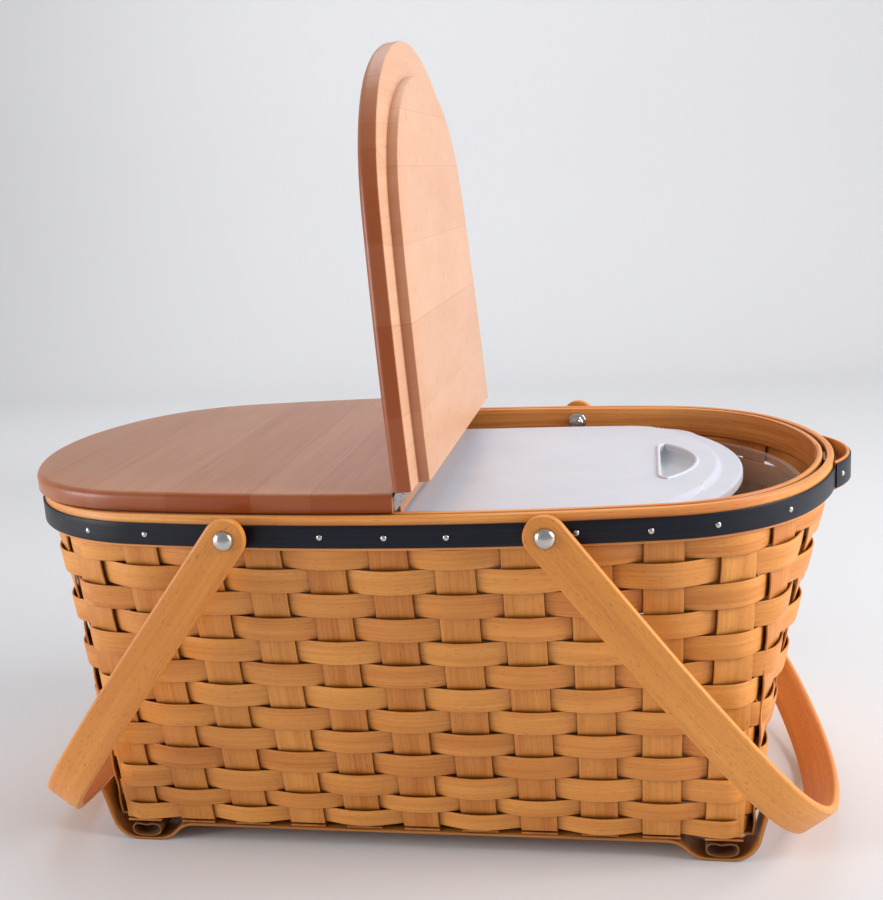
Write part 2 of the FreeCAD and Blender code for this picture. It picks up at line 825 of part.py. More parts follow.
low = tray_outline.at_y(wall_middle - tray_taper, 0)[0]
high = tray_outline.at_y(wall_middle, 0)[0]
dividers = [divider(low, high, V(0, tray_wall, 0))]
divider_place = tray_half_length / 3
low = tray_outline.at_x(wall_middle - tray_taper, divider_place)[0]
high = tray_outline.at_x(wall_middle, divider_place)[0]
for side in (-1, 1):
    plate = divider(V(0, low.y, 0), V(0, high.y, 0), V(tray_wall, 0, 0))
    plate.translate(V(side * divider_place, 0, 0))
    dividers.append(plate)
write("divided_tray", tray.fuse(dividers).removeSplitter())


# Tray cover: a shallow milky cap, stepped in at its shoulders, with a hand hole near each end

cover_outline = Oval(
    cover_half_length,
    cover_half_depth - cover_shoulder_step,
    cover_side_radius,
    cover_corner_radius,
    cover_end_radius,
)
cover_shoulder = cover_half_length - cover_shoulder_inset
shoulders = box(-cover_shoulder, cover_shoulder, -far, far, 0, far)


def cover_block(offset, z0, z1):
    """The cover's outline, filled between two heights."""
    middle = cover_outline.prism(offset + cover_shoulder_step, z0, z1).common(shoulders)
    return middle.fuse(cover_outline.prism(offset, z0, z1)).removeSplitter()


hole_x = cover_half_length - hand_hole_inset
hole_start = V(hole_x, -hand_hole_half_span, 0)
hole_stop = V(hole_x, hand_hole_half_span, 0)
hole_bow = Part.Arc(hole_start, V(hole_x + hand_hole_reach, 0, 0), hole_stop)
hand_hole_wire = Part.Wire([Part.makeLine(hole_stop, hole_start), hole_bow.toShape()])
hand_hole = Part.Face(hand_hole_wire).extrude(V(0, 0, far))
cover = cover_block(0, cover_bottom, cover_top)
cover = cover.cut([
    cover_block(-cover_wall, cover_bottom, cover_top - cover_wall),
    hand_hole,
    mirrored_x(hand_hole),
])
write("tray_cover", cover)
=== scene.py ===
import bmesh
import bpy
import numpy as np
from mathutils import Matrix


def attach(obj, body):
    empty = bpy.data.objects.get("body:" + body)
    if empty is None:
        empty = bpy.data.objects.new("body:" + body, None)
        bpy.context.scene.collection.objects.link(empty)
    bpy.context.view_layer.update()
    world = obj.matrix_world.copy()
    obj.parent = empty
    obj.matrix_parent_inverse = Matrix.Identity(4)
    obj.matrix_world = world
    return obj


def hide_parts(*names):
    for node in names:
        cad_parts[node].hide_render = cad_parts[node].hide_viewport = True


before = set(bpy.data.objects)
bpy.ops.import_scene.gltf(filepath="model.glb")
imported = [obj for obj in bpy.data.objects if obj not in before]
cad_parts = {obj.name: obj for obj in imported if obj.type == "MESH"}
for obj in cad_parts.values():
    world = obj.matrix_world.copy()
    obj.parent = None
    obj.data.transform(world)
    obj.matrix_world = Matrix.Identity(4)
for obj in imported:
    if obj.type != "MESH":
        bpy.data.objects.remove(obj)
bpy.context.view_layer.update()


# Floor of the basket. Maple splints, one layer laid across the depth and one along the length, each
# ending at the foot of an upright. They are kept as their solids and get their stain here.

def linear(hex_colour):
    """sRGB hex to linear: c/12.92 for dark channels, ((c + 0.055)/1.055)^2.4 for the rest."""
    c = np.array([int(hex_colour[i:i + 2], 16) for i in (1, 3, 5)]) / 255
    rgb = np.where(c <= 0.04045, c / 12.92, ((c + 0.055) / 1.055) ** 2.4)
    return (*(float(v) for v in rgb), 1.0)


def feed(node, inputs):
    """Sets each input of a node to a value, or links it to another node's output."""
    for key, value in inputs.items():
        if isinstance(value, bpy.types.NodeSocket):
            node.id_data.links.new(value, node.inputs[key])
        else:
            node.inputs[key].default_value = value


def add(tree, kind, inputs, **settings):
    """Adds a node, sets its properties and feeds its inputs; gives its outputs."""
    node = tree.nodes.new(kind)
    for key, value in settings.items():
        setattr(node, key, value)
    feed(node, inputs)
    return node.outputs


def new_material(name):
    """A material, its node tree and its shader."""
    material = bpy.data.materials.new(name)
    material.use_nodes = True
    return material, material.node_tree, material.node_tree.nodes["Principled BSDF"]


def noise(tree, where, scale, detail, roughness=0.5):
    """Cloudy noise between 0 and 1; scale is how many clouds lie in a unit of the coordinates."""
    inputs = {"Vector": where, "Scale": scale, "Detail": detail, "Roughness": roughness}
    return add(tree, "ShaderNodeTexNoise", inputs)["Fac"]


def remap(tree, value, low, high, to_low=0.0, to_high=1.0):
    """Takes the range from low to high to another one, and holds at its ends."""
    inputs = {"Value": value, "From Min": low, "From Max": high, "To Min": to_low, "To Max": to_high}
    return add(tree, "ShaderNodeMapRange", inputs)[0]


def blend(tree, share, first, second, blend_type="MIX"):
    """A share of the second colour over the first."""
    inputs = {0: share, 6: first, 7: second}
    return add(tree, "ShaderNodeMix", inputs, data_type="RGBA", blend_type=blend_type)[2]


def relief(tree, height, strength, distance):
    """Shading of a fine texture that is the distance deep, in metres."""
    inputs = {"Height": height, "Strength": strength, "Distance": distance}
    return add(tree, "ShaderNodeBump", inputs)["Normal"]


def stained_maple(name, pale, deep, along=0, solid=False, roughness=0.42, fleck=0.6, toned=False,
                  figure=0.5, end_grain=False):
    """Split maple, honey stained and wiped satin: long grain 1.6 mm wide, slow bands of tone, short dark
    ray flecks, drawn 0.5 mm wide and 5 mm long so that they show, and painted shade in crevices 7 mm deep."""
    fleck_tint, crevice_shade_tint, end_stain = linear("#8A5A30"), linear("#4A2409"), linear("#93410A")
    material, tree, shader = new_material(name)
    if solid:
        where = add(tree, "ShaderNodeTexCoord", {})["Object"]
    else:
        where = add(tree, "ShaderNodeUVMap", {}, uv_map="grain")["UV"]

    def stretched(long_mm, wide_mm):
        """Coordinates whose unit is so long along the grain and so wide across it."""
        scale = [1000 / wide_mm] * 3
        scale[along] = 1000 / long_mm
        return add(tree, "ShaderNodeMapping", {"Vector": where, "Scale": scale})["Vector"]

    grain = noise(tree, stretched(90, 1.6), 1.0, 5.0, 0.6)
    bands = noise(tree, stretched(160, 9), 1.0, 2.0)
    flecks = noise(tree, stretched(5, 0.5), 1.0, 1.0)
    both = add(tree, "ShaderNodeMath", {0: grain, 1: bands}, operation="ADD")[0]
    depth = remap(tree, both, 0.72, 1.28)
    if toned:
        tone = add(tree, "ShaderNodeAttribute", {}, attribute_name="tone")["Fac"]
        faint = add(tree, "ShaderNodeMath", {0: depth, 1: figure}, operation="MULTIPLY")[0]
        depth = add(tree, "ShaderNodeMath", {0: faint, 1: tone}, operation="ADD")[0]
    colour = blend(tree, depth, linear(pale), linear(deep))
    colour = blend(tree, remap(tree, flecks, 0.62, 0.8, 0.0, fleck), colour, fleck_tint, "MULTIPLY")
    # Painted shade: ambient occlusion within 7 mm darkens crevices and gaps towards dark brown.
    open_air = add(tree, "ShaderNodeAmbientOcclusion", {"Distance": 0.007}, samples=6)["AO"]
    colour = blend(tree, remap(tree, open_air, 0.15, 0.75, 0.8, 0.0), colour, crevice_shade_tint)
    if end_grain:
        end = add(tree, "ShaderNodeAttribute", {}, attribute_name="end")["Fac"]
        colour = blend(tree, end, colour, end_stain)
    feed(shader, {
        "Base Color": colour,
        "Roughness": remap(tree, grain, 0.0, 1.0, roughness - 0.06, roughness + 0.1),
        "Normal": relief(tree, grain, 0.25, 0.0004),
        "IOR": 1.5,
    })
    return material


def finish_node(node, material):
    """Gives a solid its finish."""
    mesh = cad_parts[node].data
    mesh.materials.clear()
    mesh.materials.append(material)


for layer, along in (("cross", 1), ("long", 0)):
    floor_maple = stained_maple("maple_splint_floor_" + layer, "#D68C41", "#A55C1F", along, solid=True)
    finish_node("floor_%s_splints" % layer, floor_maple)


# Uprights of the wall. Maple splints 22 mm wide that stand on the edge of the floor, lean out
# and pass between the two rim bands; each bows a little away from the weaver that crosses it.

mm = 0.001
rim = np.array([254, 152, 994, 111, 173]) * mm
floor_half_length, floor_half_depth = 197 * mm, 106 * mm
wall_base, wall_top = 14.0 * mm, 205.1 * mm
row_edges = np.concatenate([[15.6, 27.2], 38.8 + 15.4 * np.arange(11), [205.5]]) * mm


def oval(place, offset, sizes):
    """Point and outward direction on an oval of eight tangent arcs, centre + (radius + offset)(cos t, sin t).
    place is the share of the way round from the right end; sizes are half length, half depth and the
    radii of sides, corners and ends."""
    half_length, half_depth, side, corner, end = sizes
    end_x, side_y = half_length - end, half_depth - side
    span = np.hypot(end_x, side_y)
    along = ((side - corner) ** 2 - (end - corner) ** 2 + span**2) / (2 * span)
    across = np.sqrt((side - corner) ** 2 - along**2)
    ex, ey = end_x / span, -side_y / span
    cx, cy = along * ex + across * ey, side_y + along * ey - across * ex
    a, b = np.arctan2(cy, cx - end_x), np.arctan2(cy - side_y, cx)
    xs = np.array([end_x, cx, 0, -cx, -end_x, -cx, 0, cx, end_x])
    ys = np.array([0, cy, side_y, cy, 0, -cy, -side_y, -cy, 0])
    radii = np.array([end, corner, side, corner, end, corner, side, corner, end])
    back = np.array([a, b, np.pi - b, np.pi - a])
    stops = np.concatenate([back, np.pi + back, [2 * np.pi]])
    starts = np.concatenate([[0], stops[:-1]])
    ends = np.cumsum(radii * (stops - starts))
    length = np.mod(place, 1.0) * ends[-1]
    k = np.minimum(np.searchsorted(ends, length, side="right"), len(ends) - 1)
    turn = stops[k] - (ends[k] - length) / radii[k]
    out = np.stack([np.cos(turn), np.sin(turn)], -1)
    return np.stack([xs[k], ys[k]], -1) + (radii[k] + offset)[..., None] * out, out


def where_passing(values, axis, half, line, out):
    """Point and outward direction where half of a finely drawn oval passes each value of x (axis 0)
    or y (axis 1)."""
    order = np.argsort(line[half, axis])
    known = line[half, axis][order]
    return np.stack([np.interp(values, known, v[half][order]) for v in (*line.T, *out.T)], -1)


def ring_of_uprights():
    """Point and outward direction at the foot and at the head of the 34 uprights, anticlockwise from the
    left of the front. The heads lie on the oval between the bands, moved along it to s (1 + spread s^2),
    where s is the foot's place as a share of its reach."""
    front_reach, front_spread = 180 * mm, 0.05
    end_reach, end_spread = 90 * mm, 0.08
    between_bands = -6.9 * mm
    front, end = np.linspace(-front_reach, front_reach, 11), np.linspace(-end_reach, end_reach, 6)
    line, out = oval(np.linspace(0, 1, 40001), between_bands, rim)
    front_x = front * (1 + front_spread * (front / front_reach) ** 2)
    end_y = end * (1 + end_spread * (end / end_reach) ** 2)
    head_front = where_passing(front_x, 0, line[:, 1] < 0, line, out)
    head_end = where_passing(end_y, 1, line[:, 0] > 0, line, out)
    foot_front = np.stack([front, 0 * front - floor_half_depth, 0 * front, 0 * front - 1], -1)
    foot_end = np.stack([0 * end + floor_half_length, end, 0 * end + 1, 0 * end], -1)
    foot = np.concatenate([foot_front, foot_end, -foot_front, -foot_end])
    head = np.concatenate([head_front, head_end, -head_front, -head_end])
    return foot, head


def unit(v):
    """Vectors brought to length 1, v / |v|."""
    return v / np.linalg.norm(v, axis=-1, keepdims=True)


foot, head = ring_of_uprights()


def wall_section(z):
    """Middle and outward direction of each upright at heights z: straight lines from foot to head."""
    share = np.clip((z - wall_base) / (wall_top - wall_base), 0, 1)[..., None, None]
    both = foot * (1 - share) + head * share
    return both[..., :2], unit(both[..., 2:])


def smooth_piece(name, mesh, merge=0.0):
    """Turns the faces outwards, shades them smooth up to an angle, and puts the piece in the scene."""
    sharp = np.radians(40)
    tidy = bmesh.new()
    tidy.from_mesh(mesh)
    if merge:
        bmesh.ops.remove_doubles(tidy, verts=tidy.verts, dist=merge)
    bmesh.ops.recalc_face_normals(tidy, faces=tidy.faces)
    tidy.to_mesh(mesh)
    tidy.free()
    mesh.polygons.foreach_set("use_smooth", np.ones(len(mesh.polygons), bool))
    mesh.set_sharp_from_angle(angle=sharp)
    piece = bpy.data.objects.new(name, mesh)
    bpy.context.scene.collection.objects.link(piece)
    return piece


def quad_corners(rows, columns):
    """Row and column of the four corners of every quad in a grid."""
    i, j = np.meshgrid(np.arange(rows), np.arange(columns), indexing="ij")
    return [(i, j), (i + 1, j), (i + 1, j + 1), (i, j + 1)]


def skin(name, points, uv=None, ring=False, tone=None):
    """One or several surfaces through grids of points, each closed round its second direction and, for a
    ring, along its first; open ends are capped. uv goes on to one more column, and row of a ring."""
    points = points.reshape(-1, *points.shape[-3:])
    count, n, m = points.shape[:3]
    corners = quad_corners(n if ring else n - 1, m)
    quads = np.stack([(a % n) * m + b % m for a, b in corners], -1).reshape(-1, 4)
    first = np.arange(count) * n * m
    faces = (quads + first[:, None, None]).reshape(-1, 4).tolist()
    if not ring:
        ends = np.stack([np.arange(m), np.arange((n - 1) * m, n * m)])
        faces += (ends + first[:, None, None]).reshape(-1, m).tolist()
    mesh = bpy.data.meshes.new(name)
    mesh.from_pydata(points.reshape(-1, 3), [], faces)
    if uv is not None:
        uv = uv.reshape(-1, *uv.shape[-3:])
        flat = np.stack([uv[:, a, b] for a, b in corners], -2).reshape(-1, 2)
        if not ring:
            caps = np.stack([uv[:, 0, :m], uv[:, n - 1, :m]], 1).reshape(-1, 2)
            flat = np.concatenate([flat, caps])
        mesh.uv_layers.new(name="grain").data.foreach_set("uv", flat.astype(np.float32).ravel())
    if tone is not None:
        values = np.broadcast_to(tone, (count, n, m)).astype(np.float32).ravel()
        mesh.attributes.new("tone", "FLOAT", "POINT").data.foreach_set("value", values)
    return smooth_piece(name, mesh)


def fit(piece, material, body, slot, *nodes):
    """Finishes a piece and fixes it to the body whose solids it stands for."""
    piece.data.materials.append(material)
    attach(piece, body)
    for node in nodes:
        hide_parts(node)


def splint_profile(width, thickness, ease=0.45 * mm, crown=0.12 * mm):
    """A flat strip's cut, anticlockwise: corners eased by quarter circles, faces a little crowned."""
    w, t = width / 2 - ease, thickness / 2 - ease
    turn = np.radians([0, 30, 60, 90])
    corner = np.stack([np.cos(turn), np.sin(turn)], -1) * ease
    face_rise = np.array([0.7, 1, 0.7]) * crown
    face = np.stack([np.linspace(w, -w, 5)[1:-1], face_rise + thickness / 2], -1)
    return np.concatenate([
        corner + (w, t),
        face,
        corner[::-1] * (-1, 1) + (-w, t),
        corner * (-1, -1) + (-w, -t),
        -face,
        corner[::-1] * (1, -1) + (w, -t),
    ])


def distances(line, closed=False):
    """Distance along a line from its first point to each point and, when closed, back to the first."""
    if closed:
        line = np.concatenate([line, line[:1]])
    return np.concatenate([[0], np.cumsum(np.linalg.norm(np.diff(line, axis=0), axis=1))])


def raised(plan, height):
    """Points of a plan put at their heights."""
    return np.concatenate([plan, np.broadcast_to(height, plan.shape[:-1])[..., None]], -1)


def upright_group(name, members):
    """A group of uprights: the strip's cut carried up each leaning line, its middle moved in and out by
    0.45 mm sin(pi row) as weavers cross it, and its width waving by 1.2 %."""
    splint_width, splint_thickness, bow_depth, straight_below_band = 22 * mm, 1.3 * mm, 0.45 * mm, 12 * mm
    lower_end, upper_end = 15.4 * mm, 222 * mm
    rng = np.random.default_rng(members[0])
    z = np.linspace(lower_end, upper_end, 92)
    k = np.array(members)[:, None]
    row = np.interp(z, row_edges, np.arange(len(row_edges)))
    fade = np.clip((wall_top - z) / straight_below_band, 0, 1)
    cut = splint_profile(splint_width, splint_thickness)
    middle, out = (v[:, members].transpose(1, 0, 2)[:, :, None] for v in wall_section(z))
    along = np.stack([-out[..., 1], out[..., 0]], -1)
    bow = -bow_depth * (-1.0) ** (k + np.floor(row)) * np.sin(np.pi * (row % 1)) * fade
    width = 1 + 0.012 * np.sin(z / (37 * mm) + rng.uniform(0, 6, k.shape))
    outwards, sideways = cut[:, 1] + bow[..., None], cut[:, 0] * width[..., None]
    plan = middle + out * outwards[..., None] + along * sideways[..., None]
    uv = np.stack(np.broadcast_arrays(
        distances(cut, closed=True) + 0.3 * k[..., None],
        z[:, None] + rng.uniform(0, 3, k.shape)[..., None],
    ), -1)
    tone = 0.25 + 0.22 * rng.uniform(-1, 1, k.shape) + 0.05 * np.sin(z / (50 * mm) + k)
    return skin(name, raised(plan, z[:, None]), uv, tone=tone[..., None])


upright_maple = stained_maple("stained_maple_splint_upright", "#EDA34C", "#B8661E", along=1, toned=True)
for side, members in (
    ("front", range(0, 11)),
    ("right", range(11, 17)),
    ("back", range(17, 28)),
    ("left", range(28, 34)),
):
    group = upright_group("uprights_" + side, members)
    fit(group, upright_maple, "basket", "honey_splint", side + "_uprights")


# Weavers. Maple splints 1.2 mm thick and 15 mm wide, 11 mm in the two lowest rows, one to a row, woven
# outside one upright and inside the next, so each bulges over an upright and tucks in beside its neighbours.

def grain_uv(line, cut, rng):
    """Coordinates for the grain from a random place: distance along a strip and round its cut."""
    lengthways = line[:, None] + rng.uniform(0, 5)
    return np.stack(np.broadcast_arrays(lengthways, distances(cut, closed=True) + rng.uniform(0, 1)), -1)


def weaver_row(row):
    """One row: between uprights its middle line is a cubic with each upright's own direction at its ends,
    moved out by swell cos(pi q), where q counts uprights; the strip's cut is carried along it."""
    thickness, swell_depth, gap_below, gap_above = 1.2 * mm, 3.1 * mm, 0.15 * mm, 0.25 * mm
    rng = np.random.default_rng(100 + row)
    count, steps = len(foot), 16
    q = np.arange(count * steps) / steps
    k = np.floor(q).astype(int)
    t = (q - k)[None, :, None]
    low, high = row_edges[row] + gap_below, row_edges[row + 1] - gap_above
    cut = splint_profile(high - low, thickness, crown=0.15 * mm)
    ragged = 0.25 * mm * np.sin(q * 0.7 + rng.uniform(0, 6))
    ragged = ragged + 0.15 * mm * np.sin(q * 2.3 + rng.uniform(0, 6))
    z = (low + high) / 2 + cut[:, 0]
    middle, out = wall_section(z)
    tangent = np.stack([-out[..., 1], out[..., 0]], -1)
    after = (k + 1) % count
    chord = np.linalg.norm(middle[:, after] - middle[:, k], axis=-1, keepdims=True)
    curve = (
        (2 * t**3 - 3 * t**2 + 1) * middle[:, k]
        + (t**3 - 2 * t**2 + t) * chord * tangent[:, k]
        + (3 * t**2 - 2 * t**3) * middle[:, after]
        + (t**3 - t**2) * chord * tangent[:, after]
    )
    facing = unit(out[:, k] * (1 - t) + out[:, after] * t)
    uneven = np.interp(q, np.arange(count + 1), np.append(rng.uniform(-1, 1, count), 0))
    swell = swell_depth * (1 + 0.1 * uneven)
    side = (-1) ** row * np.cos(np.pi * q) * swell
    plan = curve + facing * (side[None, :, None] + cut[:, 1, None, None])
    points = raised(plan, z[:, None] + ragged).transpose(1, 0, 2)
    line = distances(points[:, 0])
    uv = grain_uv(np.append(line, line[-1] + 2 * mm), cut, rng)
    slow = np.interp(q, np.arange(0, count + 1, 2), np.append(rng.uniform(-1, 1, count // 2), 0))
    tone = 0.24 + 0.16 * rng.uniform(-1, 1) + 0.1 * slow
    return skin("weaver_%02d" % (row + 1), points, uv, ring=True, tone=tone[:, None])


weaver_maple = stained_maple("stained_maple_splint_weaver", "#EFA54E", "#BC681E", toned=True)
for row in range(len(row_edges) - 1):
    fit(weaver_row(row), weaver_maple, "basket", "honey_splint", "weaver_row_%02d" % (row + 1))


# Rim bands. Two bent maple hoops with the uprights between them, nailed through; their edges are
# eased, and their grain runs round the rim.

def carried_round(profile, count):
    """A closed cut of (outwards, up) points carried round the rim's oval."""
    edge, out = oval(np.linspace(0, 1, count + 1)[:-1], 0.0, rim)
    return raised(edge[:, None] + out[:, None] * profile[:, 0, None], profile[:, 1])


def hoop(name, outer, inner, low, high, ease):
    """A band: its rectangular cut, with eased corners, carried round the rim."""
    count, rim_length = 480, 1.31
    cut = splint_profile(high - low, outer - inner, ease, 0.0)
    points = carried_round(cut[:, ::-1] + ((outer + inner) / 2, (low + high) / 2), count)
    line = np.linspace(0, rim_length, count + 2)[:-1]
    uv = np.stack(np.broadcast_arrays(line[:, None] + low, distances(cut, closed=True) + outer), -1)
    return skin(name, points, uv, ring=True)


band_maple = stained_maple("bent_maple_band", "#F2AA59", "#CC7029", roughness=0.4)
for name, outer, inner in (("outer_band", -1.4, -5.5), ("inner_band", -8.0, -11.2)):
    band = hoop(name + "_hoop", outer * mm, inner * mm, 205.5 * mm, 225 * mm, 0.9 * mm)
    fit(band, band_maple, "basket", "band_wood", name)


# Trim band. A thin splint stained navy, tacked round the outer band; the stain leaves the grain
# just visible and a low sheen.

def navy_splint(name):
    """Navy aniline stain on maple: near black, a little bluer along grain 1.2 mm wide, satin."""
    material, tree, shader = new_material(name)
    where = add(tree, "ShaderNodeUVMap", {}, uv_map="grain")["UV"]
    scale = (1000 / 60, 1000 / 1.2, 1000 / 1.2)
    stretched = add(tree, "ShaderNodeMapping", {"Vector": where, "Scale": scale})["Vector"]
    grain = noise(tree, stretched, 1.0, 4.0)
    feed(shader, {
        "Base Color": blend(tree, remap(tree, grain, 0.3, 0.75), linear("#07080F"), linear("#151829")),
        "Normal": relief(tree, grain, 0.2, 0.0003),
        "Roughness": 0.4,
        "Specular IOR Level": 0.28,
    })
    return material


navy = navy_splint("navy_stained_splint")
trim = hoop("trim_strip", 0.0, -1.2 * mm, 207.4 * mm, 220.2 * mm, 0.4 * mm)
fit(trim, navy, "basket", "navy_stain", "trim_band")


# Tacks. Small round plated nail heads that hold the trim to the outer band, about one to an upright
# but none beside the bolts; each is a low dome with a soft reflection.

def turned(name, profile, places, axes, sides):
    """Round pieces: a profile of (radius, height) points turned about each axis at each place,
    place + height axis + radius (cos t e1 + sin t e2)."""
    axes = unit(np.asarray(axes, float))
    turn = np.arange(sides) * 2 * np.pi / sides
    first = unit(np.cross(axes, (0.0, 0.0, 1.0)))
    second = np.cross(axes, first)
    radius, height = profile.T[:, None, :, None, None]
    spin = np.cos(turn)[:, None] * first[:, None] + np.sin(turn)[:, None] * second[:, None]
    points = radius * spin[:, None] + height * axes[:, None, None]
    return skin(name, points + places[:, None, None])


def dome(radius, rise, steps=8):
    """Half profile of a round cap, from its edge to just short of its crown."""
    turn = np.linspace(0, np.pi / 2, steps) * 0.995
    return np.stack([radius * np.cos(turn), rise * np.sin(turn)], -1)


def plated_metal(name, tint, roughness, scratch):
    """Bright plating: near white metal with faint cloudy wear 2 mm across that softens its reflections."""
    material, tree, shader = new_material(name)
    where = add(tree, "ShaderNodeTexCoord", {})["Object"]
    wear = noise(tree, where, 1000 / 2, 3.0)
    feed(shader, {
        "Base Color": blend(tree, wear, linear(tint), linear("#B4B0AB")),
        "Roughness": remap(tree, wear, 0.0, 1.0, roughness - scratch, roughness + scratch),
        "Metallic": 1.0,
    })
    return material


tack_head, tack_sides = dome(1.7 * mm, 0.9 * mm), 20
tack_x = np.array([-180, -141, -104, -36, 0, 34, 103, 142, 177, 217]) * mm
rim_line, rim_out = oval(np.linspace(0, 1, 20001), 0.0, rim)
tack_front = where_passing(tack_x, 0, rim_line[:, 1] < 0, rim_line, rim_out)
tacks = np.concatenate([tack_front, tack_front * (1, -1, 1, -1)])
tack_height = 213.3 * mm + 0.4 * mm * np.sin(np.arange(len(tacks)) * 2.4)
tack_axes = raised(tacks[:, 2:], 0.0)
bright = plated_metal("bright_zinc_plating", "#D6D2CB", 0.24, 0.02)
trim_tacks = turned("trim_tacks", tack_head, raised(tacks[:, :2], tack_height), tack_axes, tack_sides)
fit(trim_tacks, bright, "basket", "bright_fittings")


# Foot runners. A maple splint under each long edge that dips to the table near its ends and curls up
# outside the corners, with a small bent loop in each curl; the loops are coloured much darker than the
# runners.

def strip(name, path, across, width, thickness, ease, scale=1.0, crown=0.0, ring=False, seed=0):
    """A bent strip: its eased rectangular cut carried along a path, point + across x + normal y, with the
    width times a scale that may change along it."""
    rng = np.random.default_rng(seed)
    ahead = np.roll(path, -1, 0) - np.roll(path, 1, 0) if ring else np.gradient(path, axis=0)
    normal = np.cross(across, unit(ahead))
    cut = splint_profile(width, thickness, ease, crown)
    x = cut[:, 0] * np.broadcast_to(scale, len(path))[:, None]
    points = path[:, None] + np.asarray(across) * x[..., None] + normal[:, None] * cut[:, 1, None]
    line = distances(path, closed=True)
    uv = grain_uv(line, cut, rng)
    tone = 0.25 + 0.15 * np.sin(line[:-1] / (70 * mm) + rng.uniform(0, 6))
    return skin(name, points, uv, ring=ring, tone=tone[:, None])


def rounded_path(corners, radii, step=1.2 * mm):
    """Straight runs through the corners, with an arc of each radius r that starts r tan(turn/2) before
    its corner, in even steps."""
    runs = [corners[:1]]
    for before, here, after, radius in zip(corners, corners[1:], corners[2:], radii):
        back, ahead = unit(before - here), unit(after - here)
        half = np.arccos(np.clip(back @ ahead, -1, 1)) / 2
        centre = here + unit(back + ahead) * radius / np.sin(half)
        start = here + back * radius / np.tan(half) - centre
        stop = here + ahead * radius / np.tan(half) - centre
        share = np.linspace(0, 1, 14)[:, None]
        turn = np.pi - 2 * half
        arc = (np.sin((1 - share) * turn) * start + np.sin(share * turn) * stop) / np.sin(turn)
        runs.append(centre + arc)
    line = np.concatenate([*runs, corners[-1:]])
    reach = distances(line)
    even = np.arange(0, reach[-1], step)
    return np.stack([np.interp(even, reach, v) for v in line.T], -1)


runner_y, loop_x, loop_z = 97 * mm, 179 * mm, 7.1 * mm
end_lean = (head[11:17, 0].max() - floor_half_length) / (wall_top - wall_base)
half_runner = np.array([(0, 36), (0, 0.8), (164.5, 0.8), (153.5, 11.7)]) * mm
half_runner[:2, 0] = floor_half_length + end_lean * (half_runner[:2, 1] - wall_base) + 3.6 * mm
runner_line = rounded_path(
    np.concatenate([half_runner, half_runner[::-1] * (-1, 1)]),
    np.array([17, 16, 16, 16, 16, 17]) * mm,
)
turn = np.linspace(0, 2 * np.pi, 73)[:-1]
flat_oval = np.sign(np.sin(turn)) * np.abs(np.sin(turn)) ** 0.7
curl_x = 9.2 * mm * np.cos(turn)
dent = 1.6 * mm * np.exp(-(curl_x / (4 * mm)) ** 2) * (np.sin(turn) > 0)
curl_z = loop_z + 4.6 * mm * flat_oval - dent
runner_maple = stained_maple("stained_maple_splint_runner", "#D48B40", "#8C4E18", toned=True)
loop_maple = stained_maple("stained_maple_splint_loop", "#8A5628", "#4A2A10", toned=True)
for side, y, seed in (("front", -runner_y, 903), ("back", runner_y, 1097)):
    path = np.insert(runner_line, 1, y, axis=1)
    runner = strip(side + "_runner_splint", path, (0, 1, 0), 22 * mm, 1.6 * mm, 0.4 * mm, seed=seed)
    fit(runner, runner_maple, "basket", "honey_splint", side + "_runner")
    for end, x in (("left", -loop_x), ("right", loop_x)):
        path = np.column_stack([x + curl_x, 0 * curl_x + y, curl_z])
        name = "%s_%s_foot_loop" % (side, end)
        loop = strip(name, path, (0, 1, 0), 21 * mm, 1.1 * mm, 0.35 * mm, ring=True, seed=7)
        fit(loop, loop_maple, "basket", "honey_splint", "foot_loops")


# End loops. An arched maple splint stands off each end of the rim, faced with the same navy splint as
# the trim and held by a tack near each foot.

arch_centre, arch_radius, arch_height = 201.8 * mm, 61.2 * mm, 214.5 * mm
arch_turn, held_turn = np.radians(np.linspace(-38.0, 38.0, 61)), np.radians([-31.0, 31.0])
for end, sign in (("right", 1), ("left", -1)):
    middle = np.array([sign * arch_centre, 0, arch_height])
    arch, held = (np.column_stack([sign * np.cos(t), np.sin(t), 0 * t]) for t in (arch_turn, held_turn))
    path = middle + arch * (arch_radius - 0.9 * mm)
    loop = strip(end + "_end_splint", path, (0, 0, 1), 17 * mm, 1.8 * mm, 0.5 * mm, seed=21)
    fit(loop, band_maple, "basket", "band_wood", end + "_end_loop")
    path = middle + arch * (arch_radius + 0.5 * mm)
    face = strip(end + "_end_facing_splint", path, (0, 0, 1), 15 * mm, 0.8 * mm, 0.3 * mm, seed=22)
    fit(face, navy, "basket", "navy_stain", end + "_end_facing")
    places = middle + held * (arch_radius + 0.9 * mm)
    end_tacks = turned(end + "_end_tacks", tack_head, places, held, tack_sides)
    fit(end_tacks, bright, "basket", "bright_fittings")


# Pivot bolts. A plated round-headed bolt through each handle eye, a dark plastic spacer behind the strap,
# and a washer and hexagon nut inside the rim.

def moulded_plastic(name, tint, roughness):
    """Plain moulded plastic: even colour with a fine 0.6 mm texture that breaks its sheen."""
    material, tree, shader = new_material(name)
    where = add(tree, "ShaderNodeTexCoord", {})["Object"]
    grit = noise(tree, where, 1700.0, 2.0)
    light = linear(tint)
    dark = (*(0.7 * v for v in light[:3]), 1.0)
    feed(shader, {
        "Base Color": blend(tree, grit, light, dark),
        "Normal": relief(tree, grit, 0.15, 0.0002),
        "Roughness": roughness,
    })
    return material


pivot_x, pivot_z = 87.576 * mm, 215 * mm
pivots = np.array([(-pivot_x, 0, pivot_z), (pivot_x, 0, pivot_z)] * 2)
outward = np.repeat([(0, -1, 0), (0, 1, 0)], 2, axis=0)


def rounded_ring(inner, outer, thick, ease):
    """Half profile of a flat ring in mm, with eased outer edges."""
    low = [(inner, 0), (outer - ease, 0), (outer, ease)]
    return np.array(low + [(outer, thick - ease), (outer - ease, thick), (inner, thick)]) * mm


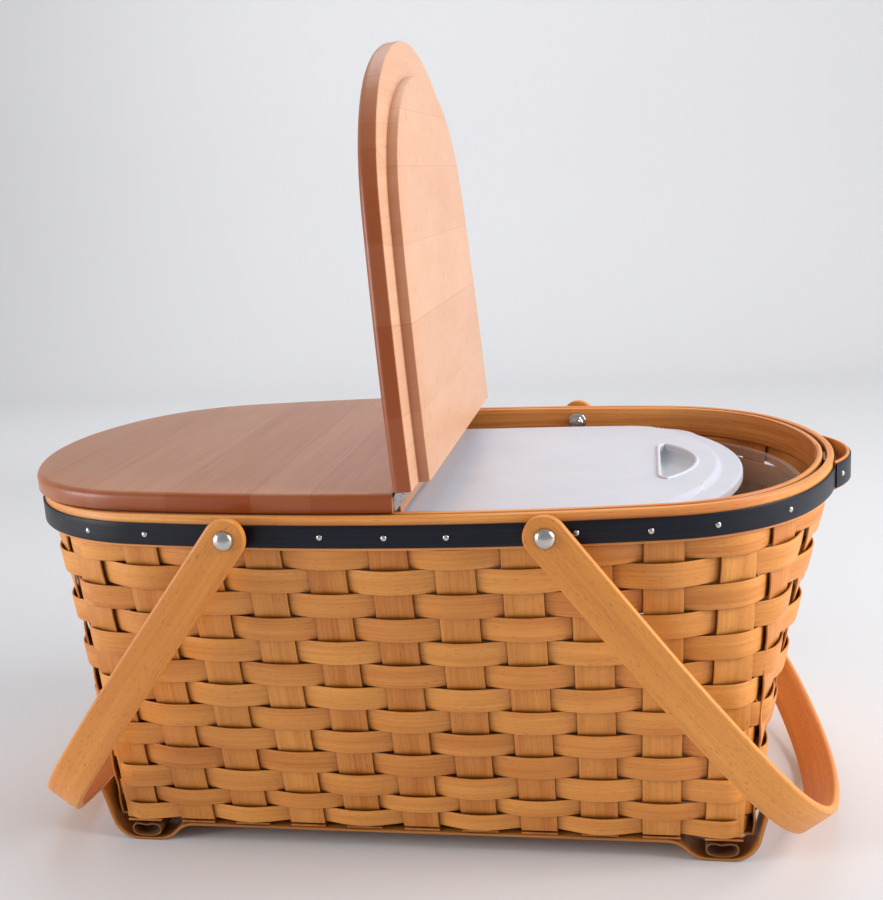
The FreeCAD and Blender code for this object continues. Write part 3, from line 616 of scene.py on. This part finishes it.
bolt_head = np.concatenate([[(2.5 * mm, 0), (5.5 * mm, 0)], dome(5.8 * mm, 3.6 * mm, 12)])
shank_end = np.array([(2.5, 0), (2.5, 3.4), (2.1, 3.8), (0.01, 3.8)]) * mm
washer, nut = rounded_ring(2.7, 6.5, 1.0, 0.25), rounded_ring(2.7, 4.6, 3.0, 0.4)
for name, profile, depth, facing, sides, node in (
    ("pivot_bolt_heads", bolt_head, 160.7 * mm, outward, 40, "pivot_bolts"),
    ("pivot_bolt_ends", shank_end, 135.6 * mm, -outward, 24, "pivot_bolts"),
    ("pivot_washer_rings", washer, 136.24 * mm, -outward, 40, "pivot_washers"),
    ("pivot_hex_nuts", nut, 135.24 * mm, -outward, 6, "pivot_nuts"),
):
    fitting = turned(name, profile, pivots + outward * depth, facing, sides)
    fit(fitting, bright, "basket", "bright_fittings", node)
spacer_plastic = moulded_plastic("dark_moulded_spacer", "#3A2E25", 0.5)
spacer = rounded_ring(2.7, 7.0, 6.9, 0.5)
spacers = turned("pivot_spacer_rings", spacer, pivots + outward * 148.3 * mm, outward, 40)
fit(spacers, spacer_plastic, "basket", "spacer_plastic", "pivot_spacers")


# Swing handles. Steam-bent maple straps 24 mm wide with rounded ends and well eased edges; the grain runs
# along the bend and shows short dark ray flecks.

hang, handle_reach, eye_radius = np.radians(52.44), 259.0 * mm, 12 * mm


def handle_line():
    """The strap's middle line from one eye to the other: straight, then bends of 450, 85 and 267 mm radius
    that turn it by 14, 56 and 40 degrees and back out; the heading grows as distance over radius."""
    bends = np.array([(450, 14), (85, 56), (266.7, 40), (85, 56), (450, 14)])
    lengths = bends[:, 0] * np.radians(bends[:, 1]) * mm
    headings = np.radians(np.concatenate([[0], np.cumsum(bends[:, 1])]))
    distance = np.concatenate([[0], np.cumsum(lengths)])
    fine = np.linspace(0, distance[-1], 6001)
    heading = np.interp(fine, distance, headings)
    step = np.diff(fine, prepend=0)
    x, y = np.cumsum(np.cos(heading) * step), np.cumsum(np.sin(heading) * step)
    straight = handle_reach - x.max()
    even = np.linspace(0, distance[-1], 261)
    bent = np.column_stack([straight + np.interp(even, fine, x), np.interp(even, fine, y) - y[-1] / 2])
    tip = -eye_radius * np.cos(np.linspace(0.02, np.pi / 2, 16))
    lead = np.concatenate([tip, np.linspace(0, straight, 40)[1:-1]])
    near = np.column_stack([lead, 0 * lead + bent[0, 1]])
    return np.concatenate([near, bent, near[::-1] * (1, -1)])


reach, y = handle_line().T
round_end = np.sqrt(np.clip(1 - np.clip(-reach / eye_radius, 0, 1) ** 2, 0.0004, 1))
handle_maple = stained_maple("steam_bent_maple", "#EFA24A", "#C06C20", fleck=0.9, toned=True, figure=0.4)
for end, sign in (("right", 1), ("left", -1)):
    x, z = sign * (pivot_x + reach * np.cos(hang)), pivot_z - reach * np.sin(hang)
    across, name = (sign * np.sin(hang), 0, np.cos(hang)), end + "_strap"
    path, sizes = np.column_stack([x, y, z]), (24 * mm, 5 * mm, 1.7 * mm)
    handle = strip(name, path, across, *sizes, scale=round_end, crown=0.1 * mm, seed=31 + sign)
    fit(handle, handle_maple, end + "_handle", "handle_wood", end + "_handle")


# Liner. A clear vacuum-formed tub that follows the basket and hangs free inside it, with a rolled bead
# round its mouth; thin enough to show the wood through, with sharp reflections.

def clear_sheet(name):
    """Clear plastic sheet: it lets light straight through, turns a little grey and shiny at a glancing
    view, and has faint ripples 40 mm long from forming."""
    material, tree, shader = new_material(name)
    where = add(tree, "ShaderNodeTexCoord", {})["Object"]
    glance = add(tree, "ShaderNodeLayerWeight", {"Blend": 0.3})["Facing"]
    feed(shader, {
        "Base Color": linear("#EFE8DF"),
        "Alpha": remap(tree, glance, 0.0, 1.0, 0.06, 0.4),
        "Normal": relief(tree, noise(tree, where, 1000 / 40, 1.0), 0.3, 0.004),
        "Roughness": 0.06,
    })
    return material


def sheets(name, grids):
    """One surface from several open grids that meet edge to edge. Each grid is a dict of points, uv, and
    tone and end values for its faces."""
    merge = 0.002 * mm
    verts, faces, uvs, tones, ends = [], [], [], [], []
    first = 0
    for grid in grids:
        points = grid["points"]
        n, m = points.shape[:2]
        corners = quad_corners(n - 1, m - 1)
        faces.append(np.stack([first + a * m + b for a, b in corners], -1).reshape(-1, 4))
        verts.append(points.reshape(-1, 3))
        uv = grid.get("uv", np.zeros((n, m, 2)))
        uvs.append(np.stack([uv[a, b] for a, b in corners], -2).reshape(-1, 2))
        tones.append(np.broadcast_to(grid.get("tone", 0.0), (n - 1, m - 1)).ravel())
        ends.append(np.broadcast_to(grid.get("end", 0.0), (n - 1, m - 1)).ravel())
        first += n * m
    mesh = bpy.data.meshes.new(name)
    mesh.from_pydata(np.concatenate(verts), [], np.concatenate(faces).tolist())
    flat = np.concatenate(uvs).astype(np.float32).ravel()
    mesh.uv_layers.new(name="grain").data.foreach_set("uv", flat)
    for key, values in (("tone", tones), ("end", ends)):
        values = np.concatenate(values).astype(np.float32)
        mesh.attributes.new(key, "FLOAT", "FACE").data.foreach_set("value", values)
    return smooth_piece(name, mesh, merge)


liner_bead = [(-17.9, 201.2), (-17.55, 203.2), (-18.3, 204.0), (-20.6, 204.0)]
liner_bead += [(-21.4, 203.2), (-21.2, 201.6), (-20.2, 200.6)]
liner_foot = [(-64.6, 18.6), (-67.5, 17.7), (-90, 17.7), (-90, 15.8), (-66.0, 15.8), (-62.6, 16.8)]
clear = clear_sheet("clear_vacuum_formed_sheet")
liner_wall = skin("liner_wall", carried_round(np.array(liner_bead + liner_foot) * mm, 240), ring=True)
fit(liner_wall, clear, "liner", "clear_plastic", "liner_tub")

floor_line, _ = oval(np.linspace(0, 0.5, 121), -89.9 * mm, rim)
share = np.linspace(-1, 1, 9)
floor_plan = np.stack([floor_line[:, 0, None] + 0 * share, floor_line[:, 1, None] * share], -1)
liner_floor = sheets("liner_floor", [{"points": raised(floor_plan, z * mm)} for z in (15.8, 17.7)])
fit(liner_floor, clear, "liner", "clear_plastic", "liner_tub")


# Tray. A tall translucent box moulded in one piece, with dividers that make compartments; it stands in
# the liner and is kept as its solid, in frosted plastic.

def milky_plastic(name, tint, cloud, roughness, through):
    """Natural polypropylene: milky, a little light coming through, with soft clouds 30 mm across and a
    fine matte texture of 0.7 mm."""
    material, tree, shader = new_material(name)
    where = add(tree, "ShaderNodeTexCoord", {})["Object"]
    clouds, matte = noise(tree, where, 33.0, 2.0), noise(tree, where, 1500.0, 2.0)
    feed(shader, {
        "Base Color": blend(tree, clouds, linear(tint), linear(cloud)),
        "Normal": relief(tree, matte, 0.08, 0.0002),
        "Roughness": roughness,
        "Transmission Weight": through,
        "Subsurface Weight": 0.25,
        "Subsurface Scale": 0.004,
    })
    return material


finish_node("divided_tray", milky_plastic("frosted_polypropylene", "#DDE1E4", "#CDD2D6", 0.4, 0.45))


# Tray cover. A shallow cap of milky plastic with stepped shoulders, a raised field whose edge curves round
# each end and, near each end, a D-shaped hand hole with a rolled lip and a thin shallow skirt that draws
# in below it.

cover_sizes = np.array([199, 111.5, 2500, 34, 166]) * mm
field_sizes = np.array([186, 112, 2500, 34, 166]) * mm
cover_round, flange_top, cover_wall = 1.8 * mm, 214.0 * mm, 2.0 * mm
shoulder_x, shoulder_step = 172 * mm, 3.5 * mm
hole_start, hole_reach, hole_span, hole_corner = 147 * mm, 24 * mm, 50 * mm, 9 * mm


def eased(share):
    """A smooth step between 0 and 1, s^2 (3 - 2 s)."""
    s = np.clip(share, 0, 1)
    return s**2 * (3 - 2 * s)


def back_half(sizes, offset, x):
    """Points and outward directions of the back half of an oval, at places x along its length."""
    line, out = oval(np.linspace(0, 0.5, 8001), offset, sizes)
    y, out_x, out_y = (np.interp(x, line[::-1, 0], v[::-1]) for v in (line[:, 1], *out.T))
    return np.stack([x, y], -1), unit(np.stack([out_x, out_y], -1))


def cover_edge(x):
    """Where the cover's top starts to round over: its oval, with a smooth step of 3.5 mm outwards, 5 mm
    long, between the shoulders at x = +-172 mm."""
    line, out = back_half(cover_sizes, -cover_round, x)
    line[:, 1] += shoulder_step * eased((shoulder_x - np.abs(x)) / (5 * mm) + 0.5)
    return line, out


def hole_half(x):
    """Half width of the D hole at a place along the cover: the chord of the circle through its corners and
    bow, with corners rounded to 9 mm that end 3 mm inside its span."""
    radius = (hole_span**2 + hole_reach**2) / (2 * hole_reach)
    bow = np.sqrt(np.clip(radius**2 - (np.abs(x) - hole_start - hole_reach + radius) ** 2, 0, None))
    before = np.clip(hole_corner - (np.abs(x) - hole_start), 0, hole_corner)
    corner = np.sqrt(hole_corner**2 - before**2)
    return np.minimum(bow, hole_span - hole_corner - 3 * mm + corner)


def field_rise(x, y):
    """Height above the flange: 2.5 mm inside the field's oval, with a soft edge 3 mm wide at its ends and
    1.4 mm at its sides."""
    quarter, _ = oval(np.linspace(0, 0.25, 4001), 0.0, field_sizes)
    end = np.interp(np.abs(y), quarter[:, 1], quarter[:, 0])
    inside, aside = (end - np.abs(x)) / (3 * mm), (field_sizes[1] - np.abs(y)) / (1.4 * mm)
    return 2.5 * mm * eased(inside) * eased(aside)


def cover_sheet(x, inner, side, drop):
    """Part of the cover's top or underside, between a line at inner from the middle and its edge; its
    columns lie closer where the field steps up."""
    edge = cover_edge(x)[0][:, 1, None]
    fine = np.array([0, 0.5, 1, 1.4, 1.8, 2.2, 2.6, 3.2, 5]) * mm * np.clip(edge / (12 * mm), 0, 1)
    rest = np.linspace(0, 1, 22)[:-1] * (edge - fine[:, -1:] - inner[:, None]) + inner[:, None]
    y = np.concatenate([rest, (edge - fine)[:, ::-1]], -1)
    x = np.broadcast_to(x[:, None], y.shape)
    return {"points": np.stack([x, side * y, flange_top + field_rise(x, y) - drop], -1)}


tip_reach = 26.2 * mm
tip_rows = hole_start + hole_reach + tip_reach * np.sin(np.linspace(np.pi / 2, 0, 30))
hole_rows = hole_start + hole_reach * (1 + np.cos(np.linspace(0, np.pi, 41))) / 2
middle_rows = np.linspace(hole_start, -hole_start, 75)
rows = np.concatenate([
    tip_rows, hole_rows[1:], middle_rows[1:], -hole_rows[-2::-1], -tip_rows[-2::-1],
])
turn = np.linspace(0, np.pi / 2, 6)
cover_cut = np.concatenate([
    cover_round * np.stack([np.sin(turn), np.cos(turn) - 1], -1) + (0, flange_top),
    np.array([(1.8, 208.6), (1.5, 208.3), (0.3, 208.3), (0.0, 208.6), (0.0, 212.0)]) * mm,
])
cover_grids = []
edge, out = cover_edge(rows)
for side in (1, -1):
    plan = (edge[:, None] + out[:, None] * cover_cut[:, 0, None]) * (1, side)
    cover_grids.append({"points": raised(plan, cover_cut[:, 1])})
    for drop in (0.0, cover_wall):
        for x in (tip_rows, middle_rows, -tip_rows):
            cover_grids.append(cover_sheet(x, 0 * x, side, drop))
        for x in (hole_rows, -hole_rows):
            cover_grids.append(cover_sheet(x, hole_half(x), side, drop))
milky = milky_plastic("milky_polypropylene", "#D2D5DF", "#C6C9D4", 0.34, 0.0)
fit(sheets("tray_cover_cap", cover_grids), milky, "cover", "milky_plastic", "tray_cover")

scoop = np.array([(1, 213.5), (1, 210.5), (0.92, 207), (0.72, 204.8), (0.26, 203.4)])
scoop = np.concatenate([scoop, scoop[::-1] * (1.03, 1) - (0, 1)])
# Painted light: the skirt's plastic is tinted much paler than the cover's, to stand in for light inside the
# shaded hole.
skirt_plastic_painted_light = milky_plastic("thin_milky_polypropylene_painted_paler", "#F0F0F3", "#E6E6EA", 0.4, 0.1)
straight = hole_half(hole_start) * np.linspace(1, -1, 41)[1:-1]
lip_x = np.concatenate([hole_rows, 0 * straight + hole_start, hole_rows[:0:-1]])
lip_y = np.concatenate([hole_half(hole_rows), straight, -hole_half(hole_rows)[:0:-1]])
lip_height = 214.9 * mm
for end, sign in (("left", -1), ("right", 1)):
    hole_line = np.column_stack([sign * lip_x, lip_y])
    path = raised(hole_line, lip_height)
    lip = strip(end + "_hole_lip", path, (0, 0, 1), 5.4 * mm, 2.6 * mm, 1.25 * mm, ring=True)
    fit(lip, milky, "cover", "milky_plastic", "tray_cover")
    middle = np.array([sign * (hole_start + 10 * mm), 0])
    plan = middle + (hole_line[:, None] - middle) * scoop[:, 0, None]
    skirt = skin(end + "_hole_skirt", raised(plan, scoop[:, 1] * mm), ring=True)
    fit(skirt, skirt_plastic_painted_light, "cover", "milky_plastic", "tray_cover")


# Lid boards. Each is edge-glued from six maple staves that run front to back, with a rounded upper edge,
# darker end grain along the front and back, and a thinner panel below that drops inside the rim.

lid_sizes = np.array([257, 146, 994, 106, 166]) * mm
lid_round, lid_top = 4 * mm, 236.3 * mm
hinge_x, hinge_z, lid_open = 8 * mm, 233.3 * mm, np.radians(93.6)
turn = np.linspace(0, np.pi / 2, 7)
lid_cut = np.concatenate([
    lid_round * np.stack([np.sin(turn), np.cos(turn) - 1], -1) + (0, lid_top),
    np.array([(4, 226.1), (3.76, 225.54), (3.2, 225.3)]) * mm,
    np.array([(-16.4, 225.3), (-17, 225), (-17, 219.4), (-17.2, 218.95), (-17.6, 218.8)]) * mm,
])
steep = np.array([0.2, 0.5, 0.8, 1, 1, 1, 1, 0.9, 0.5, 0, 0.3, 0.5, 0.3, 0])
# Painted light: the overhang's underside and the panel below are painted paler, for the key light falling on
# them.
painted_light_below = np.repeat([0, 0.5], [8, 6])


def about_pin(x, z, angle):
    """A place turned about the hinge pin: pin + (dx cos a - dz sin a, dx sin a + dz cos a)."""
    dx, dz = x - hinge_x, z - hinge_z
    turned_x = hinge_x + dx * np.cos(angle) - dz * np.sin(angle)
    return turned_x, hinge_z + dx * np.sin(angle) + dz * np.cos(angle)


def lid_board(name, meeting, joints, tones, sign, angle):
    """One board: rows of its length from the tip to the meeting edge, its cut carried round the front and
    back, and flat sheets ruled between them; then it is turned about the hinge pin."""
    reach, glue = lid_sizes[0] - lid_round, 0.3 * mm
    x = meeting + (reach - meeting) * np.sin(np.linspace(np.pi / 2, 0, 90))
    x = np.sort(np.concatenate([x, joints - glue, joints + glue]))[::-1]
    middle = (x[1:] + x[:-1]) / 2
    stave = tones[np.searchsorted(joints, middle)]
    at_joint = np.abs(middle[:, None] - joints).min(1) < glue
    tone = np.where(at_joint, stave + 0.3, stave)[:, None]
    line, out = back_half(lid_sizes, -lid_round, x)
    plan = line[:, None] + out[:, None] * lid_cut[:, 0, None]
    plan[-1, :, 0] = meeting
    end_grain = (0.85 + 1.1 * (stave - tones.min())) * out[1:, 1] ** 2
    share = np.linspace(-1, 1, 9)
    grids = []
    for side in (1, -1):
        points = raised(plan * (1, side), lid_cut[:, 1])
        uv = np.stack([points[..., 1] + side * distances(lid_cut), points[..., 0]], -1)
        grid = {"points": points, "uv": uv, "tone": tone - painted_light_below, "end": end_grain[:, None] * steep}
        grids.append(grid)
    # The panel's bottom sheet is painted paler too, the same painted light.
    for column, painted_lighter in ((0, 0.0), (-1, 0.5)):
        y = plan[:, column, 1, None] * share
        points = np.stack([plan[:, column, 0, None] + 0 * y, y, 0 * y + lid_cut[column, 1]], -1)
        grids.append({"points": points, "uv": points[..., 1::-1], "tone": tone - painted_lighter})
    y = plan[-1, :, 1, None] * share
    points = np.stack([0 * y + meeting, y, lid_cut[:, 1, None] + 0 * y], -1)
    grids.append({"points": points, "uv": points[..., 1:], "tone": tones[0]})
    for grid in grids:
        # In place, so that the flat sheets' uv, which are views of their points, turn with them.
        points = grid["points"]
        points[..., 0], points[..., 2] = about_pin(sign * points[..., 0], points[..., 2], angle)
    return sheets(name, grids)


lid_maple = stained_maple(
    "edge_glued_maple_board", "#DBAC8B", "#B26C40",
    roughness=0.36, fleck=0.3, toned=True, figure=0.18, end_grain=True,
)
left_joints, right_joints = np.array([(41, 76, 128, 180, 222), (52, 100, 143, 190, 228)]) * mm
left_tones = np.array([0.64, 0.56, 0.7, 0.6, 0.68, 0.62])
right_tones = np.array([0.58, 0.66, 0.56, 0.64, 0.6, 0.66])
for end, meeting, joints, tones, sign, angle in (
    ("left", -4.6 * mm, left_joints, left_tones, -1, 0.0),
    ("right", 11.4 * mm, right_joints, right_tones, 1, lid_open),
):
    board = lid_board(end + "_lid_staves", meeting, joints, tones, sign, angle)
    fit(board, lid_maple, end + "_lid", "board_wood", end + "_lid_board")


# Hinge. A long strip hinge of plated steel: two leaves on the meeting edges of the boards, their knuckles
# rolled round one pin, and small screws through the leaves.

hinge_steel = plated_metal("plated_hinge_steel", "#D8D6D2", 0.34, 0.06)
for node in ("left_hinge_leaf", "right_hinge_leaf", "hinge_pin"):
    finish_node(node, hinge_steel)
screw_y = np.linspace(-128, 128, 6) * mm
screw_radius, leaf_face, screw_drop = 1.9 * mm, 2.35 * mm, 5.3 * mm
screw_cut = np.concatenate([[(screw_radius, -0.2 * mm)], dome(screw_radius, 0.5 * mm)])
for end, sign, angle in (("left", -1, 0.0), ("right", 1, lid_open)):
    x, z = about_pin(hinge_x + sign * leaf_face, hinge_z - screw_drop, angle)
    at = np.column_stack([0 * screw_y + x, screw_y, 0 * screw_y + z])
    face = np.broadcast_to((-sign * np.cos(angle), 0, -sign * np.sin(angle)), at.shape)
    screws = turned(end + "_hinge_screws", screw_cut, at, face, 20)
    fit(screws, hinge_steel, end + "_lid", "bright_fittings")


# Studio. A pale seamless paper sweep, one large soft light at the right, a fill at the left, a soft light
# over the back and a weak one on the backdrop, and the camera where the photograph was taken from.

def paper_sweep():
    """Floor and backdrop in one sheet: flat, then a quarter circle, then upright."""
    turn = np.linspace(0, np.pi / 2, 24)
    bend, back = 0.5, 1.5
    y = np.concatenate([[-3.0, 0.0], back + bend * np.sin(turn), [back + bend]])
    z = np.concatenate([[0.0, 0.0], bend - bend * np.cos(turn), [4.0]])
    x = np.linspace(-4, 4, 9)
    points = np.stack(np.broadcast_arrays(x[None, :], y[:, None], z[:, None]), -1)
    return sheets("paper_sweep", [{"points": points}])


# Matt paper: an even pale ground that takes soft shadows and shines nowhere.
sweep = paper_sweep()
paper, _, paper_shader = new_material("pale_background_paper")
feed(paper_shader, {"Base Color": linear("#DBDBDD"), "Roughness": 0.9})
sweep.data.materials.append(paper)

world = bpy.data.worlds.new("soft_room")
bpy.context.scene.world = world
world.use_nodes = True
feed(world.node_tree.nodes["Background"], {"Color": linear("#F2F4F8"), "Strength": 0.42})


def put(name, data, axes, place):
    """Puts a light or a camera at a place, its own x, y and z along the axes; both look along -z."""
    thing = bpy.data.objects.new(name, data)
    thing.matrix_world = Matrix([[*row, at] for row, at in zip(np.transpose(axes), place)] + [[0, 0, 0, 1]])
    bpy.context.scene.collection.objects.link(thing)
    return thing


def soft_light(name, place, target, size, watts):
    """A rectangular soft light at a place, facing a target."""
    lamp = bpy.data.lights.new(name, "AREA")
    lamp.shape = "RECTANGLE"
    lamp.size, lamp.size_y = size
    lamp.energy = watts
    back = unit(np.array(place) - np.array(target))
    right = unit(np.cross((0, 0, 1), back))
    put(name, lamp, (right, np.cross(back, right), back), place)


soft_light("key_right", (1.7, -0.2, 0.95), (0.0, 0.0, 0.2), (1.0, 1.2), 38)
soft_light("fill_left", (-1.6, -0.7, 0.5), (0.0, 0.0, 0.15), (0.8, 0.8), 18)
soft_light("overhead", (-0.1, 1.0, 1.9), (0.0, 0.0, 0.2), (1.4, 1.4), 12)
soft_light("backdrop_left", (-0.7, 0.9, 0.9), (-0.9, 2.0, 0.8), (0.8, 0.8), 3)

focal_pixels, picture_width, sensor = 1200.8, 883, 36.0
camera_data = bpy.data.cameras.new("photo_camera")
camera_data.sensor_fit = "HORIZONTAL"
camera_data.sensor_width = sensor
camera_data.lens = focal_pixels * sensor / picture_width
camera_data.clip_start = 0.01
yaw, pitch, roll = 0.180, 0.223, -0.061
right = np.array([np.cos(yaw), np.sin(yaw), 0])
level = np.array([-np.sin(yaw), np.cos(yaw), 0])
ahead = level * np.cos(pitch) + np.array([0, 0, -np.sin(pitch)])
above = np.cross(right, ahead)
rolled = right * np.cos(roll) + above * np.sin(roll), above * np.cos(roll) - right * np.sin(roll)
bpy.context.scene.camera = put("photo_camera", camera_data, (*rolled, -ahead), (0.1446, -0.7562, 0.4007))
bpy.context.scene.view_settings.view_transform = "Standard"
